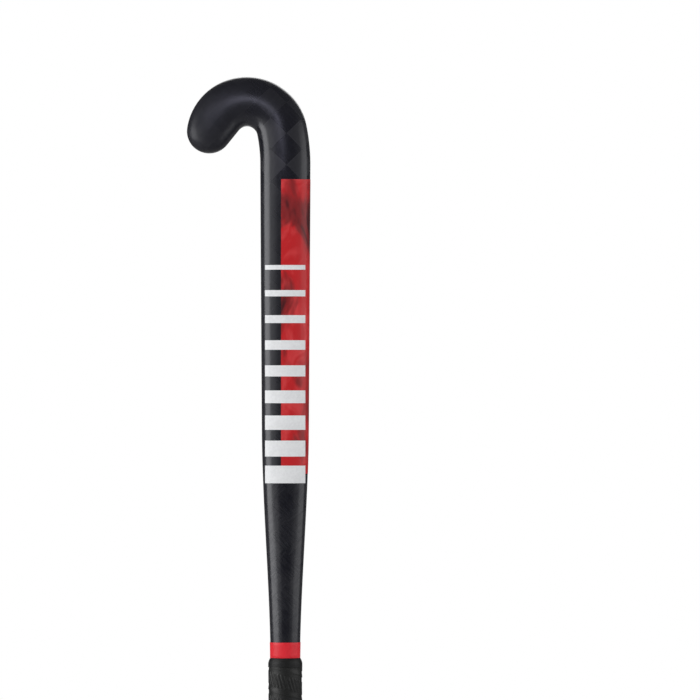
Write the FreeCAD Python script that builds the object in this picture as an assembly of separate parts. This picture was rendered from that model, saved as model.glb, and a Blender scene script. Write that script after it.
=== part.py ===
import FreeCAD, Part
import functools
import math
import os

# Composite field hockey stick for a right hander, in millimetres.
# Z runs from the butt up to the head. X runs across the stick, with the toe on the -X side.
# The flat playing face looks along +Y and the rounded back along -Y.
# The origin is the centre of the flat end of the butt cap.

# Overall sizes
stick_length = 927.0
head_width = 48.7
head_thickness = 21.5
handle_width = 28.5
handle_thickness = 24.0
wall = 2.8

# Hook of the head: its centre line is two arcs on the plane of the face, turning to the toe
lead_radius = 175.0
lead_turn = 11.4
hook_radius = 34.4

# Round end of the toe: its circle touches the hook's outer edge from inside at this heading
toe_radius = 21.8
toe_heading = 171.9

# Rounding of the cross section
head_face_radius = 5.5
handle_face_radius = 11.0
crown_drop = 1.5

# Bow: the deepest point of the face, and the tilt of the flat head beyond it
bow_depth = 24.0
bow_from_head = 210.0
head_tilt = 9.0

# Growth from handle to head: most of it over the flare, the rest evenly up to the head
flare_from_head = 570.0
flare_length = 228.0
flare_share = 0.70
handle_spans = 4
shaft_spans = 12

# Butt cap and the parts inside the tube
cap_height = 6.0
cap_lip = 1.9
cap_rounding = 2.5
spigot_length = 30.0
spigot_clearance = 0.1
rib_thickness = 2.0
core_from_head = 165.0
handle_foam_length = 360.0

# Grip, counted from the butt
grip_top = 358.0
adhesive = 0.25
grip_thickness = 1.8
finishing_length = 5.7
collar_length = 15.2
collar_thickness = 0.3

# Red panel round the heel edge of the shaft
film = 0.15
panel_top_from_head = 100.0
panel_bottom_from_head = 385.0
panel_past_centre = 4.0

# White cross bars, thinner towards the head
bar_width = 39.0
bar_count = 9
bar_pitch = 25.8
first_bar_from_head = 394.0
thickest_bar = 17.0
thinnest_bar = 4.5

# Sizes that follow
apex_height = stick_length - bow_from_head
apex_y = handle_thickness / 2 - bow_depth
upper_bow_radius = (apex_height ** 2 + bow_depth ** 2) / (2 * bow_depth)
tilt = math.radians(head_tilt)
back_radius = head_thickness - head_face_radius - crown_drop
lead_angle = math.radians(lead_turn)
hook_centre_u = (lead_radius - hook_radius) * math.cos(lead_angle) - lead_radius
hook_centre_v = (lead_radius - hook_radius) * math.sin(lead_angle)
crook_radius = hook_radius - head_width / 2
outer_radius = hook_radius + head_width / 2
head_rise = (
    (hook_centre_v + outer_radius - back_radius) * math.cos(tilt)
    + head_face_radius * math.sin(tilt)
    + back_radius
)
head_start = stick_length - head_rise
lower_bow_radius = (head_start - apex_height) / math.sin(tilt)
flare_start = stick_length - flare_from_head
reach = 2 * stick_length

# The crook's edge runs straight on to the round end of the toe, and touches both
toe_reach = outer_radius - toe_radius
toe_swing = math.acos((crook_radius + toe_radius) / toe_reach)
straight_heading = toe_heading - math.degrees(toe_swing)
straight_length = toe_reach * math.sin(toe_swing)

# Directions on the tilted plane of the head
across = FreeCAD.Vector(1, 0, 0)
face_normal = FreeCAD.Vector(0, math.cos(tilt), -math.sin(tilt))
up_the_head = FreeCAD.Vector(0, math.sin(tilt), math.cos(tilt))
turn_axis = face_normal.negative()


def mix(start, end, share):
    """Value that lies this share of the way from start to end."""
    return start + (end - start) * share


def bow_y(height):
    """Y of the face line at this height."""
    radius = upper_bow_radius if height < apex_height else lower_bow_radius
    return apex_y + radius - math.sqrt(radius ** 2 - (height - apex_height) ** 2)


def head_point(u, v):
    """Point on the plane of the face, counted from where the head starts."""
    return FreeCAD.Vector(0, bow_y(head_start), head_start) + across * u + up_the_head * v


def section_place(origin, p_axis, normal):
    """Placement whose X runs across the section and whose Y points out of the face."""
    rotation = FreeCAD.Rotation(p_axis, normal, p_axis.cross(normal), "ZXY")
    return FreeCAD.Placement(origin, rotation)


def shaft_place(height):
    """Placement of the section of the shaft at this height."""
    lean = 0.0
    if height > apex_height:
        lean = math.asin((height - apex_height) / lower_bow_radius)
    normal = FreeCAD.Vector(0, math.cos(lean), -math.sin(lean))
    return section_place(FreeCAD.Vector(0, bow_y(height), height), across, normal)


def head_place(u, v, heading):
    """Placement of a section of the hook, whose centre line has turned by heading degrees."""
    turned = math.radians(heading)
    p_axis = across * math.cos(turned) + up_the_head * math.sin(turned)
    return section_place(head_point(u, v), p_axis, face_normal)


def section_points(width, thickness, face_radius, offset):
    """Corner and middle points of half a section, moved outwards by offset."""
    half = width / 2 + offset
    corner = face_radius + offset
    edge = thickness - face_radius - crown_drop + offset
    back = -thickness - offset
    crown = ((half - edge) ** 2 + (edge + crown_drop) ** 2 - edge ** 2) / (2 * crown_drop)
    # The widest line lies one face radius under the face
    lean = math.atan2(half - edge, crown - edge - crown_drop)
    slant = math.sqrt(0.5)
    side = (half - edge, -face_radius)
    rise = math.pi / 4 - lean / 2
    return {
        "face_middle": (0, offset),
        "face_corner": (half - corner, offset),
        "corner_middle": (half - corner + corner * slant, corner * slant - face_radius),
        "widest": (half, -face_radius),
        "edge_middle": (side[0] + edge * math.cos(rise), side[1] - edge * math.sin(rise)),
        "edge_end": (side[0] + edge * math.sin(lean), side[1] - edge * math.cos(lean)),
        "crown_middle": (
            crown * math.sin(lean / 2),
            back + crown * (1 - math.cos(lean / 2)),
        ),
        "back_middle": (0, back),
    }


def half_section_edges(place, points, side):
    """Edges of one half of a section, from the middle of the face to the middle of the back."""
    at = {}
    for name, (p, q) in points.items():
        at[name] = place.multVec(FreeCAD.Vector(side * p, q, 0))
    return [
        Part.makeLine(at["face_middle"], at["face_corner"]),
        Part.Arc(at["face_corner"], at["corner_middle"], at["widest"]).toShape(),
        Part.Arc(at["widest"], at["edge_middle"], at["edge_end"]).toShape(),
        Part.Arc(at["edge_end"], at["crown_middle"], at["back_middle"]).toShape(),
    ]


def section_wire(place, points):
    """Whole section, from the middle of the face round the heel side and back."""
    heel_side = half_section_edges(place, points, 1)
    toe_side = half_section_edges(place, points, -1)
    return Part.Wire(Part.__sortEdges__(heel_side + toe_side[::-1]))


def growth(height):
    """Share of the growth from handle to head that is done at this height."""
    climbed = max(0.0, height - flare_start)
    flared = min(1.0, climbed / flare_length)
    eased = flared * flared * (3 - 2 * flared)
    return mix(climbed / (head_start - flare_start), eased, flare_share)


def shaft_section(height, offset):
    """Section of the shaft at this height."""
    share = growth(height)
    width = mix(handle_width, head_width, share)
    thickness = mix(handle_thickness, head_thickness, share)
    face_radius = mix(handle_face_radius, head_face_radius, share)
    points = section_points(width, thickness, face_radius, offset)
    return section_wire(shaft_place(height), points)


def head_section(u, v, heading, offset):
    """Section of the head, as a face."""
    points = section_points(head_width, head_thickness, head_face_radius, offset)
    return Part.Face(section_wire(head_place(u, v, heading), points))


def shaft_loft(bottom, top, spans, offset):
    """Solid through evenly spaced sections of the shaft."""
    wires = [shaft_section(mix(bottom, top, step / spans), offset) for step in range(spans + 1)]
    return Part.makeLoft(wires, True)


@functools.cache
def shaft(offset):
    """Solid of the shaft from the butt to where the head starts."""
    handle = shaft_loft(0.0, flare_start, handle_spans, offset)
    return handle.fuse(shaft_loft(flare_start, head_start, shaft_spans, offset))


def hook_point(heading, radius):
    """Point (u, v) this far from the hook's centre, towards the edge that has this heading."""
    turned = math.radians(heading)
    return hook_centre_u + radius * math.cos(turned), hook_centre_v + radius * math.sin(turned)


def hook_section(heading, offset):
    """Section of the hook where its centre line has this heading, as a face."""
    return head_section(*hook_point(heading, hook_radius), heading, offset)


def straight_ways():
    """Directions along the straight edge of the toe, and square to it towards the hook's outer edge."""
    turned = math.radians(straight_heading)
    onward = up_the_head * math.cos(turned) - across * math.sin(turned)
    outward = up_the_head * math.sin(turned) + across * math.cos(turned)
    return onward, outward


def crook_side():
    """Block on the crook's side of the ridge, the parabola midway between the toe's two edges."""
    onward, outward = straight_ways()
    start = head_point(*hook_point(straight_heading, hook_radius))
    bend = start + onward * (straight_length / 2)
    end = head_point(*hook_point(toe_heading, toe_reach))
    ridge = Part.BezierCurve()
    ridge.setPoles([start, bend, end])
    first = start - onward * head_width
    last = end + (end - bend).normalize() * head_width
    inward = outward * (-3 * head_width)
    rest = Part.makePolygon([end, last, last + inward, first + inward, first, start])
    block = Part.Face(Part.Wire([ridge.toShape()] + rest.Edges)).extrude(face_normal * (2 * head_width))
    block.translate(face_normal * -head_width)
    return block


def toe_flanks(offset):
    """Stretch from the hook to the toe's centre: one edge goes on round, the other runs straight."""
    start = hook_section(straight_heading, offset)
    hook_centre = head_point(hook_centre_u, hook_centre_v)
    outer = start.revolve(hook_centre, turn_axis, toe_heading - straight_heading)
    inner = start.extrude(straight_ways()[0] * straight_length)
    block = crook_side()
    return [outer.cut(block), inner.common(block)]


def toe_end(offset):
    """Round end of the toe: the section beyond the toe's centre, turned about that centre."""
    depth = 2 * head_width
    corner = FreeCAD.Vector(head_width / 2 - toe_radius, -depth / 2, -depth / 2)
    beyond = Part.makeBox(depth, depth, depth, corner)
    beyond.Placement = head_place(*hook_point(toe_heading, hook_radius), toe_heading)
    section = hook_section(toe_heading, offset).common(beyond).Faces[0]
    centre = head_point(*hook_point(toe_heading, toe_reach))
    return section.revolve(centre, turn_axis, 180 - toe_heading + straight_heading)


@functools.cache
def body(offset):
    """Outside of the stick moved outwards by offset, as one solid."""
    lead = head_section(0, 0, 0, offset).revolve(head_point(-lead_radius, 0), turn_axis, lead_turn)
    hook_centre = head_point(hook_centre_u, hook_centre_v)
    bend = hook_section(lead_turn, offset)
    hook = bend.revolve(hook_centre, turn_axis, straight_heading - lead_turn)
    pieces = [lead, hook, *toe_flanks(offset), toe_end(offset)]
    return shaft(offset).multiFuse(pieces).removeSplitter()


def slab(bottom, top):
    """Block that holds everything between two heights."""
    corner = FreeCAD.Vector(-reach / 2, -reach / 2, bottom)
    return Part.makeBox(reach, reach, top - bottom, corner)


def layer(inner, outer, bottom, top):
    """Skin round the shaft between two offsets and two heights."""
    band = slab(bottom, top)
    return shaft(outer).common(band).cut(shaft(inner).common(band))


def make_shell():
    """Laminated tube, closed at the toe and open at the butt."""
    tube = body(0).cut(body(-wall))
    return tube.common(slab(cap_height, stick_length + head_width))


def make_head_core():
    """Foam that fills the head from the toe down into the shaft."""
    return body(-wall).common(slab(stick_length - core_from_head, stick_length))


def make_centre_rib():
    """Web between face and back, left where the two bladders met."""
    bottom = cap_height + spigot_length
    top = stick_length - core_from_head
    corner = FreeCAD.Vector(-rib_thickness / 2, -reach / 2, bottom)
    return shaft(-wall).common(Part.makeBox(rib_thickness, reach, top - bottom, corner))


def make_handle_foam(side):
    """Foam in one of the two cells of the handle."""
    bottom = cap_height + spigot_length
    near = rib_thickness / 2 if side > 0 else -reach / 2
    width = (reach - rib_thickness) / 2
    corner = FreeCAD.Vector(near, -reach / 2, bottom)
    return shaft(-wall).common(Part.makeBox(width, reach, handle_foam_length, corner))


def make_end_cap():
    """Rubber cap with a flat end and a spigot that fills the tube."""
    flange = Part.Face(shaft_section(0, cap_lip)).extrude(FreeCAD.Vector(0, 0, cap_height))
    rim = [edge for edge in flange.Edges if edge.BoundBox.ZMax < cap_height / 2]
    flange = flange.makeFillet(cap_rounding, rim)
    plug = shaft(-wall - spigot_clearance)
    spigot = plug.common(slab(cap_height, cap_height + spigot_length))
    return flange.fuse(spigot)


def make_finishing_tape():
    """Smooth black band that closes the grip and slopes down to the shaft."""
    top = grip_top + finishing_length
    outer = adhesive + grip_thickness
    low = shaft_section(grip_top, outer)
    high = shaft_section(top, collar_thickness)
    return Part.makeLoft([low, high], True).cut(shaft(0))


def make_heel_panel():
    """Red film on both faces of the shaft, wrapped round the heel edge."""
    bottom = stick_length - panel_bottom_from_head
    top = stick_length - panel_top_from_head
    corner = FreeCAD.Vector(-panel_past_centre, -reach / 2, bottom)
    return layer(0, film, bottom, top).common(Part.makeBox(reach, reach, top - bottom, corner))


def make_bars(toward_back, panel):
    """White cross bars on one side of the shaft, stuck over the panel."""
    middle = apex_y - head_thickness / 2
    near = middle - reach if toward_back else middle
    start = stick_length - first_bar_from_head
    blocks = []
    for index in range(bar_count):
        height = mix(thickest_bar, thinnest_bar, index / (bar_count - 1))
        corner = FreeCAD.Vector(-bar_width / 2, near, start + index * bar_pitch)
        blocks.append(Part.makeBox(bar_width, reach, height, corner))
    skin = layer(0, 2 * film, start, start + bar_count * bar_pitch)
    return skin.common(Part.makeCompound(blocks)).cut(panel)


os.makedirs("parts", exist_ok=True)
collar_bottom = grip_top + finishing_length
panel = make_heel_panel()
nodes = {
    "stick_shell": make_shell(),
    "centre_rib": make_centre_rib(),
    "head_core": make_head_core(),
    "handle_foam_toe_side": make_handle_foam(-1),
    "handle_foam_heel_side": make_handle_foam(1),
    "end_cap": make_end_cap(),
    "grip_adhesive": layer(0, adhesive, cap_height, grip_top),
    "grip_tape": layer(adhesive, adhesive + grip_thickness, cap_height, grip_top),
    "finishing_tape": make_finishing_tape(),
    "collar_band": layer(0, collar_thickness, collar_bottom, collar_bottom + collar_length),
    "heel_panel": panel,
    "back_bars": make_bars(True, panel),
    "face_bars": make_bars(False, panel),
}
for name, shape in nodes.items():
    shape.exportStep("parts/" + name + ".step")
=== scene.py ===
from collections import namedtuple
import math

import bpy
import numpy as np
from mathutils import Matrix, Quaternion, Vector


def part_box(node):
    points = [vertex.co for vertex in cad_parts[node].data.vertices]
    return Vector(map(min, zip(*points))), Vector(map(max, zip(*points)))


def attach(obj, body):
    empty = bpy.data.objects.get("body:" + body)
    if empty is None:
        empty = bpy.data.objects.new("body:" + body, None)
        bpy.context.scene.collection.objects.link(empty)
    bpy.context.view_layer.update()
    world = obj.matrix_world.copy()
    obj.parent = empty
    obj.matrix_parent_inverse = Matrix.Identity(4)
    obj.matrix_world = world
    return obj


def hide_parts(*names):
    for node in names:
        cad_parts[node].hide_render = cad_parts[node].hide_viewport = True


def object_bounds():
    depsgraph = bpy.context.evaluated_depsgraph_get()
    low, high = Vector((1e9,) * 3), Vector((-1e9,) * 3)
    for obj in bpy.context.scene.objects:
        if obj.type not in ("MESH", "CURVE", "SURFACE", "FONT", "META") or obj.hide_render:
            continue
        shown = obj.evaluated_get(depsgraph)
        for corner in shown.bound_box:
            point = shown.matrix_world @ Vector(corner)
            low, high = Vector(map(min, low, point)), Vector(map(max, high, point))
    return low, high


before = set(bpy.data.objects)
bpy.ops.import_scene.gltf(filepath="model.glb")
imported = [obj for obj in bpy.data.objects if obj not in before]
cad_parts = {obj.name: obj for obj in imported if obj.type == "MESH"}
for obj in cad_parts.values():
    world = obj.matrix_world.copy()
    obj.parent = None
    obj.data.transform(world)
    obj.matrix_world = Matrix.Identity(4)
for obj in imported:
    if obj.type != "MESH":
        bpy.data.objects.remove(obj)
cad_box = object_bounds()

# Looks of a composite field hockey stick. Z runs up to the head, -X is the toe side,
# the flat playing face looks along +Y and the rounded back along -Y. All sizes are in metres.
mm = 0.001

# Sizes and places taken from the frame
stick_length = cad_box[1].z
cap_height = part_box("stick_shell")[0].z
grip_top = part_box("grip_tape")[1].z
collar_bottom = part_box("collar_band")[0].z
collar_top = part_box("collar_band")[1].z
panel_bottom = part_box("heel_panel")[0].z
panel_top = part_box("heel_panel")[1].z
panel_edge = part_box("heel_panel")[0].x
bars_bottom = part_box("back_bars")[0].z
bars_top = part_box("back_bars")[1].z
half_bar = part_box("back_bars")[1].x

# Length of the stick, and its section at the handle and at the head
full_length = 927.0 * mm
head_width = 48.7 * mm
head_thickness = 21.5 * mm
head_face_radius = 5.5 * mm
handle_width = 28.5 * mm
handle_thickness = 24.0 * mm
handle_face_radius = 11.0 * mm
crown_drop = 1.5 * mm
wall = 2.8 * mm

# Centre line of the hook: two arcs on the plane of the face, turning to the toe
lead_radius = 175.0 * mm
lead_angle = math.radians(11.4)
hook_radius = 34.4 * mm

# Round end of the toe: its circle touches the hook's outer edge from inside at this angle
toe_radius = 21.8 * mm
toe_angle = math.radians(171.9)

# Bow of the shaft, and its growth from handle to head
bow_depth = 24.0 * mm
bow_from_head = 210.0 * mm
tilt = math.radians(9.0)
flare_from_head = 570.0 * mm
flare_length = 228.0 * mm
flare_share = 0.70

# Sizes that follow
apex_height = full_length - bow_from_head
apex_y = handle_thickness / 2 - bow_depth
upper_bow_radius = (apex_height ** 2 + bow_depth ** 2) / (2 * bow_depth)
hook_centre_u = (lead_radius - hook_radius) * math.cos(lead_angle) - lead_radius
hook_centre_v = (lead_radius - hook_radius) * math.sin(lead_angle)
crook_radius = hook_radius - head_width / 2
outer_radius = hook_radius + head_width / 2
back_radius = head_thickness - head_face_radius - crown_drop
head_rise = (
    (hook_centre_v + outer_radius - back_radius) * math.cos(tilt)
    + head_face_radius * math.sin(tilt)
    + back_radius
)
head_start = full_length - head_rise
lower_bow_radius = (head_start - apex_height) / math.sin(tilt)
flare_start = full_length - flare_from_head

# The crook's edge runs straight on from this angle to the round end of the toe
toe_reach = outer_radius - toe_radius
straight_angle = toe_angle - math.acos((crook_radius + toe_radius) / toe_reach)

# Prints and tapes: how far each stands off the laminate
panel_film = 0.15 * mm
bar_film = 0.3 * mm
collar_film = 0.3 * mm
film_root = 0.1 * mm
bar_count = 9
thickest_bar = 17.0 * mm
thinnest_bar = 4.5 * mm
collar_lap = 0.14 * mm
collar_edge = 0.1 * mm

# Grip: a cushion tape wound in a spiral, each turn lapping over the one below
grip_outset = 1.75 * mm
tape_pitch = 23.0 * mm
lap_rise = 0.5 * mm
lap_length = 5.0 * mm
rib_rise = 0.4 * mm
rib_spacing = 3.1 * mm
rib_width = 1.7 * mm
rib_length = 13.0 * mm
pull_rise = 0.12 * mm

# Black tape over the top of the grip
finishing_reach = 3.5 * mm
finishing_film = 0.55 * mm
finishing_edge = 0.8 * mm
pleat_rise = 0.05 * mm

# Carbon cloth, laid flat: width of a tow, centre of a dark square by the head, height of a dark oval
tow = 21.9 * mm
square_x, square_height = 1.3 * mm, 853.3 * mm
oval_height = 458.0 * mm

# Photograph: the frame is 700 pixels of 0.97 mm, and this point of it is the stick's (0, 0, top)
pixel = 0.97 * mm
frame_pixels = 700
top_pixel = (285.4, 76.6)
reference_y = -3.0 * mm
lens = 400.0
sensor = 36.0

# Steps along half a section: the back's crown and edge, the face's edge and flat
crown_steps, back_edge_steps, face_edge_steps, flat_steps = 10, 16, 14, 8
widest_step = crown_steps + back_edge_steps
half_steps = widest_step + face_edge_steps + flat_steps

# A section, as two halves that meet in the middle: skip is how much of the middle is left out of each
Station = namedtuple(
    "Station",
    "origin normal heel toe base heel_cloth toe_cloth width thickness face_radius skip",
)


def mix(start, end, share):
    """Value that lies this share of the way from start to end."""
    return start + (end - start) * share


def smooth(low, high, value):
    """Eased step from 0 at low to 1 at high, also on arrays."""
    share = np.clip((value - low) / (high - low), 0, 1)
    return share * share * (3 - 2 * share)


def bow_y(height):
    """Y of the face line at this height."""
    radius = upper_bow_radius if height < apex_height else lower_bow_radius
    return apex_y + radius - math.sqrt(radius ** 2 - (height - apex_height) ** 2)


def growth(height):
    """Share of the growth from handle to head that is done at this height."""
    climbed = max(0.0, height - flare_start)
    eased = float(smooth(0, flare_length, climbed))
    return mix(climbed / (head_start - flare_start), eased, flare_share)


def shaft_station(height):
    """Place and size of the shaft's section at this height."""
    lean = 0.0
    if height > apex_height:
        lean = math.asin((height - apex_height) / lower_bow_radius)
    share = growth(height)
    across = Vector((1, 0, 0))
    heading = Vector((1, 0))
    return Station(
        Vector((0, bow_y(height), height)),
        Vector((0, math.cos(lean), -math.sin(lean))),
        across,
        -across,
        Vector((0, height)),
        heading,
        -heading,
        mix(handle_width, head_width, share),
        mix(handle_thickness, head_thickness, share),
        mix(handle_face_radius, head_face_radius, share),
        0.0,
    )


def head_station(u, v, heel_way, toe_way, skip=0.0):
    """Place of a section of the head, whose two halves point at these angles."""
    right = Vector((1, 0, 0))
    up = Vector((0, math.sin(tilt), math.cos(tilt)))
    heel = Vector((math.cos(heel_way), math.sin(heel_way)))
    toe = Vector((math.cos(toe_way), math.sin(toe_way)))
    return Station(
        Vector((0, bow_y(head_start), head_start)) + right * u + up * v,
        Vector((0, math.cos(tilt), -math.sin(tilt))),
        right * heel.x + up * heel.y,
        right * toe.x + up * toe.y,
        Vector((u, head_start + v)),
        heel,
        toe,
        head_width,
        head_thickness,
        head_face_radius,
        skip,
    )


def hook_station(angle):
    """Section of the hook, or past its straight edge a bent one that meets on the toe's ridge."""
    toe_side = min(angle, straight_angle)
    ridge = 2 * hook_radius / (1 + math.cos(angle - toe_side))
    u = hook_centre_u + ridge * math.cos(angle)
    v = hook_centre_v + ridge * math.sin(angle)
    return head_station(u, v, angle, toe_side + math.pi, ridge - hook_radius)


def stick_stations(bottom):
    """Sections from the butt to the centre of the toe, close enough for a smooth surface."""
    shaft_rows, lead_rows, hook_rows, toe_rows = 300, 12, 64, 14
    stations = [shaft_station(mix(bottom, head_start, row / shaft_rows)) for row in range(shaft_rows)]
    for row in range(lead_rows):
        turned = lead_angle * row / lead_rows
        u = lead_radius * (math.cos(turned) - 1)
        stations.append(head_station(u, lead_radius * math.sin(turned), turned, turned + math.pi))
    for row in range(hook_rows):
        stations.append(hook_station(mix(lead_angle, straight_angle, row / hook_rows)))
    for row in range(toe_rows + 1):
        stations.append(hook_station(mix(straight_angle, toe_angle, row / toe_rows)))
    return stations


def section_arcs(station, offset):
    """Centres, radii and meeting angle of the arcs that make half a section."""
    half = station.width / 2 + offset
    corner = station.face_radius + offset
    depth = station.thickness - station.face_radius + offset
    tangent = crown_drop / (crown_drop + half - depth)
    lean = 2 * math.atan(tangent)
    edge = (depth - half * tangent) / (1 - tangent)
    crown = edge + (half - edge) / math.sin(lean)
    return half, corner, edge, crown, lean


def half_profile(station, offset):
    """Half a section as (p, q) pairs: back middle, round the side, to the face middle."""
    half, corner, edge, crown, lean = section_arcs(station, offset)
    widest_q = -station.face_radius
    crown_q = crown - station.thickness - offset
    arcs = [
        (0.0, crown_q, crown, math.asin(station.skip / crown), lean, crown_steps),
        (half - edge, widest_q, edge, lean, math.pi / 2, back_edge_steps),
        (half - corner, widest_q, corner, math.pi / 2, math.pi, face_edge_steps),
    ]
    points = []
    for p, q, radius, start, end, steps in arcs:
        for step in range(steps):
            angle = mix(start, end, step / steps)
            p_here = p + radius * math.sin(angle) - station.skip
            points.append((p_here, q - radius * math.cos(angle)))
    for step in range(flat_steps + 1):
        points.append(((half - corner - station.skip) * (1 - step / flat_steps), offset))
    return points


def place(station, p, q):
    """Point of a section in the frame, p to the heel side or under 0 to the toe side."""
    way = station.heel * p if p > 0 else station.toe * -p
    return station.origin + way + station.normal * q


def ring(station, offset):
    """Whole section: up the heel side to the face middle, and back down the toe side."""
    half = half_profile(station, offset)
    heel = [place(station, p, q) for p, q in half]
    toe = [place(station, -p, q) for p, q in half[-2:0:-1]]
    return heel + toe


def half_girths(station):
    """Lengths along half a section from the back middle, in its half_steps points."""
    half = half_profile(station, 0.0)
    girths = [0.0]
    for (p0, q0), (p1, q1) in zip(half, half[1:]):
        girths.append(girths[-1] + math.hypot(p1 - p0, q1 - q0))
    return girths


def cloth_point(station, girths, step, side, on_back):
    """Where a point of the section lies on the flat cloth that is laid round it."""
    reach = girths[step] if on_back else girths[-1] - girths[step]
    return station.base + (station.heel_cloth if side > 0 else station.toe_cloth) * reach


def ring_step(column):
    """Step of the half section, and side, of a column of a whole ring."""
    column %= 2 * half_steps
    return (column, 1) if column <= half_steps else (2 * half_steps - column, -1)


class Skin:
    """Growing mesh with a cloth position for each corner of a face."""

    def __init__(self):
        self.points = []
        self.faces = []
        self.cloth = []

    def add_row(self, points):
        start = len(self.points)
        self.points.extend(points)
        return list(range(start, len(self.points)))

    def add_face(self, corners, cloth, flip):
        """Adds a face, leaving out a corner that is named twice."""
        kept = [i for i in range(len(corners)) if corners[i] != corners[i - 1]]
        if flip:
            kept.reverse()
        self.faces.append([corners[i] for i in kept])
        self.cloth.extend(cloth[i] for i in kept)

    def add_plain(self, corners):
        """Adds a face of a film or tape, whose finish doesn't use the cloth position."""
        cloth = [(self.points[corner].x, self.points[corner].z) for corner in corners]
        self.add_face(corners, cloth, False)

    def make(self, name):
        """Object of the mesh, shaded smooth but for its sharp edges."""
        mesh = bpy.data.meshes.new(name)
        mesh.from_pydata(self.points, [], self.faces)
        layer = mesh.uv_layers.new(name="cloth")
        layer.data.foreach_set("uv", np.array(self.cloth, np.float32).ravel())
        return finish_mesh(name, mesh)


def finish_mesh(name, mesh):
    """Object of a finished mesh, in the scene."""
    mesh.polygons.foreach_set("use_smooth", [True] * len(mesh.polygons))
    mesh.set_sharp_from_angle(angle=math.radians(50))
    mesh.validate()
    piece = bpy.data.objects.new(name, mesh)
    bpy.context.scene.collection.objects.link(piece)
    return piece


def stand_for(piece, node, material):
    """Puts a piece in the place of a CAD node, with its finish."""
    piece.data.materials.append(material)
    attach(piece, "root")
    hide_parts(node)
    return piece


def add_body(skin, offset, flip):
    """Skin of the whole stick at an offset, closed at the toe. Returns its first row."""
    stations = stick_stations(cap_height)
    columns = 2 * half_steps
    rows = [skin.add_row(ring(station, offset)) for station in stations]
    girths = [half_girths(station) for station in stations]
    for row in range(len(rows) - 1):
        for column in range(columns):
            corners, cloth = [], []
            near, far = ring_step(column), ring_step(column + 1)
            on_back = max(near[0], far[0]) <= widest_step
            side = near[1] if near[0] not in (0, half_steps) else far[1]
            for r, c in ((row, near), (row, far), (row + 1, far), (row + 1, near)):
                column_here = column if c is near else (column + 1) % columns
                corners.append(rows[r][column_here])
                cloth.append(cloth_point(stations[r], girths[r], c[0], side, on_back))
            skin.add_face(corners, cloth, flip)
    add_toe(skin, girths[-1], rows[-1], offset, flip)
    return rows[0]


def add_toe(skin, girths, last_row, offset, flip):
    """Round end of the toe: half a section turned from the last ring's heel half to its toe half."""
    turns = 40
    u = hook_centre_u + toe_reach * math.cos(toe_angle)
    v = hook_centre_v + toe_reach * math.sin(toe_angle)
    fans = []
    for turn in range(turns + 1):
        angle = mix(toe_angle, straight_angle + math.pi, turn / turns)
        station = head_station(u, v, angle, angle, head_width / 2 - toe_radius)
        if turn == 0:
            row = last_row[: half_steps + 1]
        elif turn == turns:
            row = [last_row[0]] + last_row[: half_steps - 1: -1]
        else:
            half = half_profile(station, offset)
            inner = skin.add_row([place(station, p, q) for p, q in half[1:-1]])
            row = [last_row[0]] + inner + [last_row[half_steps]]
        fans.append((station, row))
    for (near, near_row), (far, far_row) in zip(fans, fans[1:]):
        for step in range(half_steps):
            on_back = step < widest_step
            corners = [near_row[step], near_row[step + 1], far_row[step + 1], far_row[step]]
            cloth = [
                cloth_point(near, girths, step, 1, on_back),
                cloth_point(near, girths, step + 1, 1, on_back),
                cloth_point(far, girths, step + 1, 1, on_back),
                cloth_point(far, girths, step, 1, on_back),
            ]
            skin.add_face(corners, cloth, flip)


def make_shell():
    """Laminated tube: outer skin, inner skin and the cut end inside the cap."""
    skin = Skin()
    outer = add_body(skin, 0.0, False)
    inner = add_body(skin, -wall, True)
    count = len(outer)
    base = Vector((0, cap_height))
    for column in range(count):
        after = (column + 1) % count
        corners = [outer[after], outer[column], inner[column], inner[after]]
        skin.add_face(corners, [base] * 4, False)
    return skin.make("laminate_shell")


def face_q(station, offset, p):
    """Height of the section's face at p."""
    half, corner, _, _, _ = section_arcs(station, offset)
    past = max(0.0, abs(p) - (half - corner))
    return math.sqrt(corner ** 2 - past ** 2) - station.face_radius


def back_q(station, offset, p):
    """Height of the section's back at p."""
    half, _, edge, crown, lean = section_arcs(station, offset)
    if abs(p) < crown * math.sin(lean):
        return crown - station.thickness - offset - math.sqrt(crown ** 2 - p ** 2)
    return -station.face_radius - math.sqrt(edge ** 2 - (abs(p) - half + edge) ** 2)


def level_point(height, profile, column, offset):
    """Point of a line round the shaft that lies at this height, though the section there leans."""
    section_height = height
    for _ in range(2):
        station = shaft_station(section_height)
        p, q = profile(station, offset)[column]
        section_height = height - station.normal.z * q
    return place(shaft_station(section_height), p, q)


def bar_profile(station, offset, on_back):
    """Line across one side of the section, from the toe side to the heel side."""
    columns = 40
    side_q = back_q if on_back else face_q
    line = []
    for column in range(columns + 1):
        p = mix(-half_bar, half_bar, column / columns)
        line.append((p, side_q(station, offset, p)))
    return line


def panel_profile(station, offset):
    """Line from past the middle of the back, round the heel edge, to past the middle of the face."""
    past = [panel_edge, panel_edge / 2]
    back = [(p, back_q(station, offset, p)) for p in past]
    face = [(p, face_q(station, offset, p)) for p in past[::-1]]
    return back + half_profile(station, offset) + face


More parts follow.
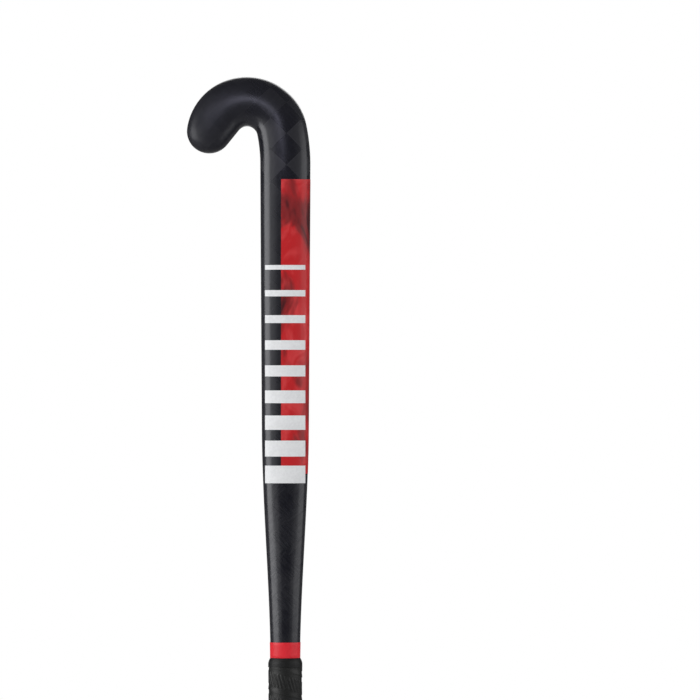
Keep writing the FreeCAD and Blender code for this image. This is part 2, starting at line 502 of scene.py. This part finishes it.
def add_film(skin, profile, bottom, top, film, rows):
    """Closed thin solid that follows the shaft between two heights."""
    grids = []
    for offset in (film, -film_root):
        grid = []
        columns = len(profile(shaft_station(bottom), offset))
        for row in range(rows + 1):
            height = mix(bottom, top, row / rows)
            points = [level_point(height, profile, column, offset) for column in range(columns)]
            grid.append(skin.add_row(points))
        grids.append(grid)
    outer, inner = grids
    add_face = skin.add_plain
    for row in range(rows):
        for column in range(columns - 1):
            here, after = outer[row], outer[row + 1]
            add_face([here[column], here[column + 1], after[column + 1], after[column]])
            here, after = inner[row], inner[row + 1]
            add_face([after[column], after[column + 1], here[column + 1], here[column]])
        add_face([outer[row + 1][0], inner[row + 1][0], inner[row][0], outer[row][0]])
        add_face([outer[row][-1], inner[row][-1], inner[row + 1][-1], outer[row + 1][-1]])
    for column in range(columns - 1):
        low_out, low_in = outer[0], inner[0]
        add_face([low_out[column + 1], low_out[column], low_in[column], low_in[column + 1]])
        high_out, high_in = outer[-1], inner[-1]
        add_face([high_out[column], high_out[column + 1], high_in[column + 1], high_in[column]])


def make_panel():
    """Red film on both faces, wrapped round the heel edge."""
    skin = Skin()
    add_film(skin, panel_profile, panel_bottom, panel_top, panel_film, 110)
    return skin.make("smoky_red_panel")


def make_bars(name, on_back):
    """White cross bars on one side of the shaft, thinner towards the head."""
    skin = Skin()

    def profile(station, offset):
        line = bar_profile(station, offset, on_back)
        return line if on_back else line[::-1]

    pitch = (bars_top - thinnest_bar - bars_bottom) / (bar_count - 1)
    for index in range(bar_count):
        bottom = bars_bottom + index * pitch
        height = mix(thickest_bar, thinnest_bar, index / (bar_count - 1))
        add_film(skin, profile, bottom, bottom + height, bar_film, 8)
    return skin.make(name)


def add_sleeve(skin, heights, outset, inner_offset):
    """Closed band round the shaft, whose outer surface stands outset(row, column) off the laminate."""
    grids = []
    for is_inner in (False, True):
        grid = []
        for row, height in enumerate(heights):
            station = shaft_station(height)
            if is_inner:
                points = ring(station, inner_offset)
            else:
                near = ring(station, 0.0)
                far = ring(station, 1 * mm)
                lifts = [outset(row, column) / mm for column in range(len(near))]
                points = [a.lerp(b, lift) for a, b, lift in zip(near, far, lifts)]
            grid.append(skin.add_row(points))
        grids.append(grid)
    outer, inner = grids
    count = len(outer[0])
    add_face = skin.add_plain
    for column in range(count):
        after = (column + 1) % count
        for row in range(len(heights) - 1):
            low, high = outer[row], outer[row + 1]
            add_face([low[column], low[after], high[after], high[column]])
            low, high = inner[row], inner[row + 1]
            add_face([high[column], high[after], low[after], low[column]])
        add_face([outer[0][after], outer[0][column], inner[0][column], inner[0][after]])
        add_face([outer[-1][column], outer[-1][after], inner[-1][after], inner[-1][column]])


def make_collar():
    """Red tape round the shaft, one layer and a short lap on the heel side of the back."""
    skin = Skin()
    edge = 0.25 * mm
    heights = [collar_bottom, collar_bottom + edge]
    heights += [mix(collar_bottom, collar_top, share / 6) for share in range(1, 6)]
    heights += [collar_top - edge, collar_top]
    lap_columns = range(60, 78)

    def outset(row, column):
        if row in (0, len(heights) - 1):
            return collar_edge
        return collar_film + (collar_lap if column in lap_columns else 0.0)

    add_sleeve(skin, heights, outset, -film_root)
    return skin.make("red_collar_tape")


def make_finishing_tape():
    """Smooth black tape over the top of the grip, drawn down in a rounded shoulder to the shaft."""
    skin = Skin()
    bottom = grip_top - finishing_reach
    rows = 22
    full = grip_outset + finishing_film
    heights = [mix(bottom, collar_bottom, row / rows) for row in range(rows + 1)]

    def outset(row, column):
        height = heights[row]
        shoulder = max(0.0, (height - grip_top) / (collar_bottom - grip_top))
        low_edge = min(1.0, (height - bottom) / finishing_edge + 0.55)
        pleat = pleat_rise * math.sin(column * 0.9) * math.sin(column * 0.23 + 1) * shoulder
        return (full - collar_film) * (1 - shoulder ** 1.7) * low_edge + collar_film + pleat

    add_sleeve(skin, heights, outset, 0.0)
    return skin.make("black_finishing_tape")


def even_outline(count):
    """Handle outline as evenly spaced (p, q) points with outward normals, and its girth."""
    half = half_profile(shaft_station(cap_height), 0.0)
    line = half + [(-p, q) for p, q in half[-2:0:-1]] + [half[0]]
    line = np.array(line)
    steps = np.hypot(*np.diff(line, axis=0).T)
    along = np.concatenate([[0], np.cumsum(steps)])
    girth = along[-1]
    at = np.arange(count) * girth / count
    points = np.stack([np.interp(at, along, line[:, axis]) for axis in (0, 1)], axis=1)
    ahead = np.roll(points, -1, axis=0) - np.roll(points, 1, axis=0)
    ahead /= np.linalg.norm(ahead, axis=1)[:, None]
    return points, np.stack([ahead[:, 1], -ahead[:, 0]], axis=1), girth


def grip_relief(across, along, turn, girth):
    """How far the tape stands out: its lapped edge, its embossed ribs and an uneven pull."""
    lap = lap_rise * (1 - smooth(0, lap_length, across))
    middle = tape_pitch * 0.52
    slanted = along + (across - middle) * tape_pitch / girth
    off_rib = np.abs((slanted / rib_spacing) % 1 - 0.5) * rib_spacing
    past_end = np.maximum(0, np.abs(across - middle) - rib_length / 2 + rib_width / 2)
    from_rib = np.hypot(off_rib, past_end)
    rib = rib_rise * (1 - smooth(rib_width * 0.15, rib_width * 0.62, from_rib))
    pull = pull_rise * np.sin(turn * 2.1 + along / girth * 5) * np.sin(across / tape_pitch * math.pi)
    return grip_outset + lap + rib + pull


def make_grip():
    """Cushion tape: a mesh whose rows run along the spiral, so that each lapped edge is crisp."""
    columns = 300
    outline, normals, girth = even_outline(columns)
    edge_rows = [0.0, 0.004, 0.02]
    undercut = lap_rise * 0.95
    rows_per_turn = 30
    plain = rows_per_turn - len(edge_rows)
    shares = edge_rows + [mix(0.05, 0.985, row / (plain - 1)) for row in range(plain)]
    turns = int((grip_top - cap_height) / tape_pitch) + 3
    at = np.arange(columns) * girth / columns
    points = []
    for turn in range(-1, turns):
        for index, share in enumerate(shares):
            across = np.full(columns, share * tape_pitch)
            along = at - girth * turn
            relief = grip_relief(across, along, turn - at / girth, girth)
            if index == 0:
                relief -= undercut
            height = cap_height + (turn + share - at / girth) * tape_pitch
            height = np.clip(height, cap_height, grip_top)
            middle = np.array([bow_y(z) for z in height])
            flat = outline + normals * relief[:, None]
            points.append(np.stack([flat[:, 0], flat[:, 1] + middle, height], axis=1))
    rows = len(points)
    faces = []
    for row in range(rows_per_turn, rows - 1):
        for column in range(columns):
            after = column + 1
            low, high = row, row + 1
            if after == columns:
                after = 0
                low -= rows_per_turn
                high -= rows_per_turn
            faces.append((row, column, low, after, high, after, row + 1, column))
    faces = np.array(faces)
    corners = faces[:, 0::2] * columns + faces[:, 1::2]
    points = np.concatenate(points)
    # Faces that lie whole on the cut ends of the tape are left out
    heights = points[corners][:, :, 2]
    kept = heights.max(axis=1) - heights.min(axis=1) > 1e-7
    mesh = bpy.data.meshes.new("cushion_grip")
    mesh.from_pydata(points.tolist(), [], corners[kept].tolist())
    return finish_mesh("cushion_grip", mesh)


# Node trees

def add(tree, kind, inputs=None, **settings):
    """New node. An input takes a number, a colour or the socket of another node."""
    node = tree.nodes.new(kind)
    for name, value in settings.items():
        setattr(node, name, value)
    for key, value in (inputs or {}).items():
        if isinstance(value, bpy.types.NodeSocket):
            tree.links.new(value, node.inputs[key])
        else:
            node.inputs[key].default_value = value
    return node


def calc(tree, operation, *values):
    """Socket of a math node."""
    return add(tree, "ShaderNodeMath", dict(enumerate(values)), operation=operation).outputs[0]


def noise(tree, place, scale, detail=3.0, roughness=0.5, distortion=0.0):
    """Socket of a noise texture's value."""
    inputs = {
        "Vector": place,
        "Scale": scale,
        "Detail": detail,
        "Roughness": roughness,
        "Distortion": distortion,
    }
    return add(tree, "ShaderNodeTexNoise", inputs).outputs["Fac"]


def ramp(tree, value, low, high, to_low=0.0, to_high=1.0):
    """Socket of a value mapped from one range to another, and held at its ends."""
    inputs = {"Value": value, "From Min": low, "From Max": high, "To Min": to_low, "To Max": to_high}
    node = add(tree, "ShaderNodeMapRange", inputs, interpolation_type="SMOOTHSTEP")
    return node.outputs["Result"]


def blend(tree, share, first, second):
    """Socket of a colour between two others."""
    node = add(tree, "ShaderNodeMix", data_type="RGBA")
    for index, value in ((0, share), (6, first), (7, second)):
        if isinstance(value, bpy.types.NodeSocket):
            tree.links.new(value, node.inputs[index])
        elif index:
            node.inputs[index].default_value = (*value, 1)
        else:
            node.inputs[index].default_value = value
    return node.outputs[2]


def bump(tree, height, distance, strength=1.0):
    """Socket of a normal raised by a height from 0 to 1 over this distance."""
    inputs = {"Height": height, "Distance": distance, "Strength": strength}
    return add(tree, "ShaderNodeBump", inputs).outputs["Normal"]


def new_material(name):
    """Material with its tree, its shader and the place of each point in the frame."""
    material = bpy.data.materials.new(name)
    material.use_nodes = True
    tree = material.node_tree
    tree.nodes.clear()
    shader = add(tree, "ShaderNodeBsdfPrincipled")
    add(tree, "ShaderNodeOutputMaterial", {"Surface": shader.outputs[0]})
    where = add(tree, "ShaderNodeTexCoord").outputs["Object"]
    return material, tree, shader, where


def wire(tree, shader, **inputs):
    """Connects or sets inputs of the shader, named with _ for a space."""
    for key, value in inputs.items():
        socket = shader.inputs[key.replace("_", " ")]
        if isinstance(value, bpy.types.NodeSocket):
            tree.links.new(value, socket)
        else:
            socket.default_value = value


def cloth_squares(tree, cloth):
    """Sockets of a place on the cloth, counted in squares that stand on their corners."""
    moved = add(
        tree,
        "ShaderNodeMapping",
        {"Vector": cloth, "Location": (-square_x, -square_height, 0)},
        vector_type="POINT",
    ).outputs[0]
    slanted = add(
        tree,
        "ShaderNodeVectorRotate",
        {"Vector": moved, "Angle": math.radians(45)},
        rotation_type="Z_AXIS",
    ).outputs[0]
    scaled = add(
        tree, "ShaderNodeVectorMath", {0: slanted, "Scale": 1 / tow}, operation="SCALE"
    ).outputs[0]
    squares = add(tree, "ShaderNodeSeparateXYZ", {0: scaled})
    return [calc(tree, "ADD", socket, 0.5) for socket in squares.outputs[:2]]


def cloth_fibres(tree, first, second, parity):
    """Socket of fine streaks, one way in a dark square and the other way in a light one."""
    few, many = 2.0, 11.0
    streaks = []
    for counts in ((few, many), (many, few)):
        places = [calc(tree, "MULTIPLY", way, count) for way, count in zip((first, second), counts)]
        place = add(tree, "ShaderNodeCombineXYZ", dict(enumerate(places))).outputs[0]
        streaks.append(noise(tree, place, 1.0, 3.0))
    chosen = {0: parity, 2: streaks[0], 3: streaks[1]}
    return add(tree, "ShaderNodeMix", chosen, data_type="FLOAT").outputs[0]


def cloth_ovals(tree, cloth):
    """Socket of soft spots, two tows apart along the shaft: 2 at the middle of a spot."""
    wave = math.pi / (tow * math.sqrt(2))
    axes = add(tree, "ShaderNodeSeparateXYZ", {0: cloth})
    across = calc(tree, "MULTIPLY_ADD", axes.outputs[0], wave, -square_x * wave)
    upward = calc(tree, "MULTIPLY_ADD", axes.outputs[1], wave, -oval_height * wave)
    return calc(tree, "ADD", calc(tree, "COSINE", across), calc(tree, "COSINE", upward))


def carbon_lacquer():
    """Satin lacquer over spread-tow carbon cloth, laid at 45 degrees: squares that shine in turn, their
    shine painted into the base colour as a painted sheen of light and dark squares.
    """
    material, tree, shader, where = new_material("lacquered_carbon")
    cloth = add(tree, "ShaderNodeUVMap", uv_map="cloth").outputs[0]
    axes = add(tree, "ShaderNodeSeparateXYZ", {0: where})
    toe_side, height = axes.outputs[0], axes.outputs[2]
    first, second = cloth_squares(tree, cloth)
    cell = [calc(tree, "FLOOR", first), calc(tree, "FLOOR", second)]
    parity = calc(tree, "PINGPONG", calc(tree, "ADD", *cell), 1.0)
    cell_place = add(tree, "ShaderNodeCombineXYZ", dict(enumerate(cell))).outputs[0]
    tone = add(tree, "ShaderNodeTexWhiteNoise", {"Vector": cell_place}, noise_dimensions="2D")
    fibres = cloth_fibres(tree, first, second, parity)
    cloud = noise(tree, where, 14.0, 3.0)

    # Painted sheen: the light squares' tone stands in for the shine of the tows that run one way, and is
    # painted strongest above the red panel, less over the top of the hook and towards the toe
    shown = ramp(tree, height, 0.800, 0.832, 0.15, 1.0)
    shown = calc(tree, "MULTIPLY", shown, ramp(tree, height, 0.900, 0.868, 0.4, 1.0))
    shown = calc(tree, "MULTIPLY", shown, ramp(tree, toe_side, -0.045, -0.020, 0.25, 1.0))
    plain = 0.45
    # The light squares' lighter base colour is a painted sheen, varied by a random cloud and a random
    # tone for each square
    light = calc(tree, "MULTIPLY", parity, ramp(tree, cloud, 0.25, 0.7, 0.6, 1.1))
    light = calc(tree, "ADD", light, calc(tree, "MULTIPLY", tone.outputs["Value"], 0.2))
    light = calc(tree, "MULTIPLY_ADD", calc(tree, "SUBTRACT", light, plain), shown, plain)

    # Below the print they melt into soft dark ovals, and the fibres show more
    low_shaft = ramp(tree, height, 0.57, 0.50)
    dark = ramp(tree, cloth_ovals(tree, cloth), 0.7, 1.8, 0.0, 0.3)
    light = calc(tree, "SUBTRACT", light, calc(tree, "MULTIPLY", dark, low_shaft))
    streaks = ramp(tree, fibres, 0.3, 0.7, -1.0, 1.0)
    streaks = calc(tree, "MULTIPLY", streaks, ramp(tree, low_shaft, 0.0, 1.0, 0.35, 1.0))
    light = calc(tree, "MULTIPLY_ADD", streaks, 0.2, light)

    # The toe is scuffed dull
    rough = ramp(tree, light, 0.0, 1.0, 0.25, 0.33)
    rough = calc(tree, "ADD", rough, ramp(tree, toe_side, -0.035, -0.075, 0.0, 0.2))
    coat = calc(tree, "MULTIPLY_ADD", streaks, 0.22, 0.78)
    coat = calc(tree, "MULTIPLY", coat, ramp(tree, toe_side, -0.075, -0.035, 0.3, 1.0))
    # Base colour: dark squares, and the painted sheen of the light ones
    wire(
        tree,
        shader,
        Base_Color=blend(tree, light, (0.0022, 0.0025, 0.0075), (0.0185, 0.0185, 0.0235)),
        Roughness=rough,
        Normal=bump(tree, fibres, 0.04 * mm, 0.3),
        Specular_IOR_Level=0.5,
        Specular_Tint=(0.93, 0.94, 1.0, 1),
        Coat_Weight=coat,
        Coat_Roughness=0.25,
    )
    return material


def smoky_red_film():
    """Red print under the lacquer: dark smoke, thickest at the heel edge by the head, and pale wisps."""
    material, tree, shader, where = new_material("smoky_red_film")
    stretched = add(
        tree, "ShaderNodeMapping", {"Vector": where, "Scale": (1.0, 1.0, 0.62)}
    ).outputs[0]
    axes = add(tree, "ShaderNodeSeparateXYZ", {0: where})
    by_head = ramp(tree, axes.outputs[2], 0.60, 0.83)
    by_edge = ramp(tree, axes.outputs[0], 0.004, 0.022)
    thicker = calc(tree, "MULTIPLY", by_head, calc(tree, "MULTIPLY_ADD", by_edge, 0.10, 0.02))
    smoke = calc(tree, "SUBTRACT", noise(tree, stretched, 27.0, 3.5, 0.5, 0.9), thicker)
    wisps = noise(tree, stretched, 50.0, 3.0, 0.55, 1.4)
    grain = noise(tree, where, 900.0, 2.0)
    red = blend(tree, ramp(tree, wisps, 0.42, 0.68), (0.54, 0.009, 0.013), (0.64, 0.040, 0.044))
    thin_smoke = ramp(tree, smoke, 0.46, 0.32, 0.0, 0.8)
    thick_smoke = ramp(tree, smoke, 0.32, 0.24, 0.0, 0.8)
    colour = blend(tree, thin_smoke, red, (0.15, 0.011, 0.013))
    colour = blend(tree, thick_smoke, colour, (0.020, 0.007, 0.010))
    wire(
        tree,
        shader,
        Base_Color=colour,
        Roughness=ramp(tree, grain, 0.3, 0.7, 0.30, 0.36),
        Specular_IOR_Level=0.4,
        Coat_Weight=0.1,
        Coat_Roughness=0.30,
    )
    return material


def white_film():
    """White print with the faint mottle of ink on cloth, under the lacquer."""
    material, tree, shader, where = new_material("white_film")
    mottle = noise(tree, where, 420.0, 3.0, 0.6)
    drift = noise(tree, where, 45.0, 2.0)
    share = calc(tree, "ADD", calc(tree, "MULTIPLY", mottle, 0.6), calc(tree, "MULTIPLY", drift, 0.4))
    colour = blend(tree, ramp(tree, share, 0.35, 0.65), (0.74, 0.75, 0.76), (0.81, 0.82, 0.83))
    wire(
        tree,
        shader,
        Base_Color=colour,
        Roughness=ramp(tree, mottle, 0.3, 0.7, 0.44, 0.52),
        Specular_IOR_Level=0.25,
        Normal=bump(tree, mottle, 0.02 * mm, 0.3),
    )
    return material


def red_tape():
    """Semi-gloss plastic tape with a fine stretch grain round the shaft."""
    material, tree, shader, where = new_material("red_tape")
    stretched = add(
        tree, "ShaderNodeMapping", {"Vector": where, "Scale": (0.15, 0.15, 6.0)}
    ).outputs[0]
    grain = noise(tree, stretched, 420.0, 2.0)
    drift = noise(tree, where, 120.0, 2.0)
    colour = blend(tree, ramp(tree, drift, 0.3, 0.7), (0.70, 0.012, 0.024), (0.74, 0.018, 0.032))
    wire(
        tree,
        shader,
        Base_Color=colour,
        Roughness=ramp(tree, grain, 0.3, 0.7, 0.30, 0.38),
        Specular_IOR_Level=0.4,
        Normal=bump(tree, grain, 0.03 * mm, 0.4),
    )
    return material


def black_tape():
    """Smooth elastic tape, slightly drawn."""
    material, tree, shader, where = new_material("black_tape")
    stretched = add(
        tree, "ShaderNodeMapping", {"Vector": where, "Scale": (0.3, 0.3, 3.0)}
    ).outputs[0]
    grain = noise(tree, stretched, 300.0, 3.0)
    colour = blend(tree, ramp(tree, grain, 0.3, 0.7), (0.0075, 0.0080, 0.0082), (0.0115, 0.0120, 0.0125))
    wire(
        tree,
        shader,
        Base_Color=colour,
        Roughness=ramp(tree, grain, 0.3, 0.7, 0.40, 0.50),
        Specular_IOR_Level=0.4,
        Normal=bump(tree, grain, 0.06 * mm, 0.5),
    )
    return material


def cushion_tape():
    """Soft polyurethane with a fine pebbled skin, a little dusty where hands wear it."""
    material, tree, shader, where = new_material("cushion_tape")
    pebbles = add(tree, "ShaderNodeTexVoronoi", {"Vector": where, "Scale": 1900.0}, feature="F1")
    grain = noise(tree, where, 1300.0, 2.0)
    wear = noise(tree, where, 55.0, 3.0, 0.6)
    height = calc(tree, "SUBTRACT", grain, calc(tree, "MULTIPLY", pebbles.outputs["Distance"], 0.7))
    colour = blend(tree, ramp(tree, wear, 0.35, 0.7), (0.0085, 0.0090, 0.0088), (0.0150, 0.0155, 0.0152))
    wire(
        tree,
        shader,
        Base_Color=colour,
        Roughness=ramp(tree, wear, 0.3, 0.7, 0.50, 0.40),
        Specular_IOR_Level=0.5,
        Normal=bump(tree, height, 0.08 * mm, 0.4),
    )
    return material


def cap_rubber():
    """Matte moulded rubber, scuffed paler in spots."""
    material, tree, shader, where = new_material("cap_rubber")
    grain = noise(tree, where, 700.0, 3.0)
    scuffs = noise(tree, where, 160.0, 4.0, 0.65)
    colour = blend(tree, ramp(tree, scuffs, 0.5, 0.75), (0.012, 0.012, 0.013), (0.045, 0.045, 0.046))
    wire(
        tree,
        shader,
        Base_Color=colour,
        Roughness=ramp(tree, scuffs, 0.4, 0.7, 0.55, 0.75),
        Specular_IOR_Level=0.4,
        Normal=bump(tree, grain, 0.08 * mm, 0.6),
    )
    return material


def raw_laminate():
    """Bare moulded laminate, with its fibres across the web."""
    material, tree, shader, where = new_material("raw_laminate")
    stretched = add(
        tree, "ShaderNodeMapping", {"Vector": where, "Scale": (1.0, 30.0, 1.0)}
    ).outputs[0]
    fibres = noise(tree, stretched, 90.0, 3.0)
    colour = blend(tree, ramp(tree, fibres, 0.3, 0.7), (0.020, 0.020, 0.022), (0.055, 0.055, 0.060))
    wire(tree, shader, Base_Color=colour, Roughness=0.6, Normal=bump(tree, fibres, 0.1 * mm, 0.5))
    return material


def foam(name, cells, dark, light):
    """Foam with open cells of a given number to the metre."""
    material, tree, shader, where = new_material(name)
    bubbles = add(tree, "ShaderNodeTexVoronoi", {"Vector": where, "Scale": cells}, feature="F1")
    share = ramp(tree, bubbles.outputs["Distance"], 0.1, 0.6)
    colour = blend(tree, share, dark, light)
    height = calc(tree, "SUBTRACT", 1.0, bubbles.outputs["Distance"])
    wire(tree, shader, Base_Color=colour, Roughness=0.85, Normal=bump(tree, height, 0.3 * mm, 0.7))
    return material


def adhesive_cloth():
    """Double-sided cloth tape under the grip."""
    material, tree, shader, where = new_material("adhesive_cloth")
    weave = add(
        tree,
        "ShaderNodeTexWave",
        {"Vector": where, "Scale": 260.0, "Distortion": 0.6},
        bands_direction="Z",
    ).outputs["Fac"]
    colour = blend(tree, weave, (0.62, 0.60, 0.54), (0.76, 0.75, 0.70))
    wire(tree, shader, Base_Color=colour, Roughness=0.7, Normal=bump(tree, weave, 0.08 * mm, 0.6))
    return material


def cover_node(node, material):
    """Gives a CAD node that stays its finish."""
    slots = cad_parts[node].data.materials
    slots.clear()
    slots.append(material)


def build_stick():
    """All the pieces of the stick."""
    red = smoky_red_film()
    white = white_film()
    stand_for(make_shell(), "stick_shell", carbon_lacquer())
    stand_for(make_panel(), "heel_panel", red)
    stand_for(make_bars("white_back_bars", True), "back_bars", white)
    stand_for(make_bars("white_face_bars", False), "face_bars", white)
    stand_for(make_collar(), "collar_band", red_tape())
    stand_for(make_finishing_tape(), "finishing_tape", black_tape())
    stand_for(make_grip(), "grip_tape", cushion_tape())
    cover_node("end_cap", cap_rubber())
    cover_node("centre_rib", raw_laminate())
    cover_node("head_core", foam("head_foam", 900.0, (0.55, 0.50, 0.38), (0.78, 0.74, 0.62)))
    light_foam = foam("handle_foam", 500.0, (0.66, 0.64, 0.58), (0.86, 0.84, 0.78))
    cover_node("handle_foam_toe_side", light_foam)
    cover_node("handle_foam_heel_side", light_foam)
    cover_node("grip_adhesive", adhesive_cloth())


def make_floor():
    """Pale floor that fades into the white background."""
    radius, rings, spokes = 3.2, 24, 72
    points = [(0.0, 0.0, 0.0)]
    for step in range(1, rings + 1):
        reach = radius * step / rings
        for spoke in range(spokes):
            angle = 2 * math.pi * spoke / spokes
            points.append((reach * math.cos(angle), reach * math.sin(angle), 0.0))
    faces = [(0, 1 + spoke, 1 + (spoke + 1) % spokes) for spoke in range(spokes)]
    for step in range(rings - 1):
        start = 1 + step * spokes
        for spoke in range(spokes):
            after = (spoke + 1) % spokes
            faces.append((start + spoke, start + spokes + spoke, start + spokes + after, start + after))
    mesh = bpy.data.meshes.new("floor")
    mesh.from_pydata(points, [], faces)
    floor = bpy.data.objects.new("floor", mesh)
    bpy.context.scene.collection.objects.link(floor)
    floor.data.materials.append(floor_finish())


def floor_finish():
    """Pale matte floor, white far from the stick for the rays that look at it, and dim in the gloss."""
    material, tree, shader, where = new_material("pale_floor")
    rays = add(tree, "ShaderNodeLightPath")
    colour = blend(tree, rays.outputs["Is Glossy Ray"], (0.80, 0.80, 0.81), (0.25, 0.25, 0.25))
    wire(tree, shader, Base_Color=colour, Roughness=0.9, Specular_IOR_Level=0.1)
    distance = add(tree, "ShaderNodeVectorMath", {0: where}, operation="LENGTH").outputs["Value"]
    way = add(tree, "ShaderNodeVectorMath", {0: where}, operation="NORMALIZE").outputs[0]
    seen, _ = seen_background(tree, way, 0.0)
    share = calc(tree, "MULTIPLY", seen, ramp(tree, distance, 0.35, 1.6))
    white = add(tree, "ShaderNodeEmission", {"Color": (1, 1, 1, 1), "Strength": 1.0})
    both = add(tree, "ShaderNodeMixShader", {0: share, 1: shader.outputs[0], 2: white.outputs[0]})
    output = next(node for node in tree.nodes if node.type == "OUTPUT_MATERIAL")
    tree.links.new(both.outputs[0], output.inputs["Surface"])
    return material


def seen_background(tree, way, room):
    """How white it looks that way, to the eye and in gloss behind the stick, and which rays see it."""
    rays = add(tree, "ShaderNodeLightPath")
    behind = add(tree, "ShaderNodeSeparateXYZ", {0: way}).outputs[1]
    glossy = calc(tree, "MAXIMUM", rays.outputs["Is Glossy Ray"], rays.outputs["Is Transmission Ray"])
    white = calc(tree, "MULTIPLY", glossy, ramp(tree, behind, 0.95, 0.99, room, 1.0))
    white = calc(tree, "MAXIMUM", white, rays.outputs["Is Camera Ray"])
    return white, calc(tree, "MAXIMUM", glossy, rays.outputs["Is Camera Ray"])


def make_world():
    """White background behind the stick, in a dim room, with soft level light from all round."""
    world = bpy.data.worlds.new("studio")
    bpy.context.scene.world = world
    world.use_nodes = True
    tree = world.node_tree
    tree.nodes.clear()
    way = add(tree, "ShaderNodeTexCoord").outputs["Generated"]
    shown, seen = seen_background(tree, way, 0.08)
    ambient = add(tree, "ShaderNodeBackground", {"Color": (1, 1, 1, 1), "Strength": 0.58})
    white = add(tree, "ShaderNodeBackground", {"Color": (1, 1, 1, 1), "Strength": shown})
    both = add(tree, "ShaderNodeMixShader", {0: seen, 1: ambient.outputs[0], 2: white.outputs[0]})
    add(tree, "ShaderNodeOutputWorld", {"Surface": both.outputs[0]})


def softbox(name, bearing, elevation, distance, target, size, radiance, roll=0, colour=(1, 1, 1)):
    """Area light seen from the target at a bearing from the back's side, positive to the heel side."""
    data = bpy.data.lights.new(name, "AREA")
    data.shape = "RECTANGLE"
    data.size, data.size_y = size
    data.energy = radiance * math.pi * size[0] * size[1]
    data.color = colour
    lamp = bpy.data.objects.new(name, data)
    bpy.context.scene.collection.objects.link(lamp)
    turned, raised = math.radians(bearing), math.radians(elevation)
    way = Vector((
        math.sin(turned) * math.cos(raised),
        -math.cos(turned) * math.cos(raised),
        math.sin(raised),
    ))
    lamp.location = Vector(target) + way * distance
    lamp.rotation_mode = "QUATERNION"
    lamp.rotation_quaternion = way.to_track_quat("Z", "Y") @ Quaternion((0, 0, 1), math.radians(roll))
    lamp.visible_camera = False


def make_lights():
    """Soft boxes on the toe and heel sides, each with a dim wing, one behind, and a strip by the head."""
    shaft = (0, apex_y, 0.72)
    hook = (-0.037, 0, 0.905)
    softbox("key_box", -70, 4, 1.5, shaft, (1.3, 1.3), 2.3)
    softbox("key_wing", -35, 4, 1.6, shaft, (0.55, 1.3), 0.5)
    softbox("heel_box", 74, 4, 1.6, shaft, (1.56, 1.3), 0.9)
    softbox("heel_wing", 38, 4, 1.6, shaft, (0.50, 1.3), 0.2)
    softbox("head_strip", -14, 23, 0.4, hook, (0.25, 0.050), 3.2, -18, (0.80, 0.79, 1.0))
    softbox("face_box", 172, 30, 2.2, shaft, (1.6, 1.2), 1.6)


def make_camera():
    """Camera of the photograph: level, square to the back of the stick."""
    data = bpy.data.cameras.new("camera")
    data.lens = lens
    data.sensor_width = sensor
    camera = bpy.data.objects.new("camera", data)
    bpy.context.scene.collection.objects.link(camera)
    middle = frame_pixels / 2
    distance = frame_pixels * pixel * lens / sensor
    camera.location = (
        (middle - top_pixel[0]) * pixel,
        reference_y - distance,
        stick_length - (middle - top_pixel[1]) * pixel,
    )
    camera.rotation_euler = (math.pi / 2, 0, 0)
    data.clip_end = 50.0
    bpy.context.scene.camera = camera


build_stick()
make_floor()
make_world()
make_lights()
make_camera()
bpy.context.scene.view_settings.view_transform = "Standard"
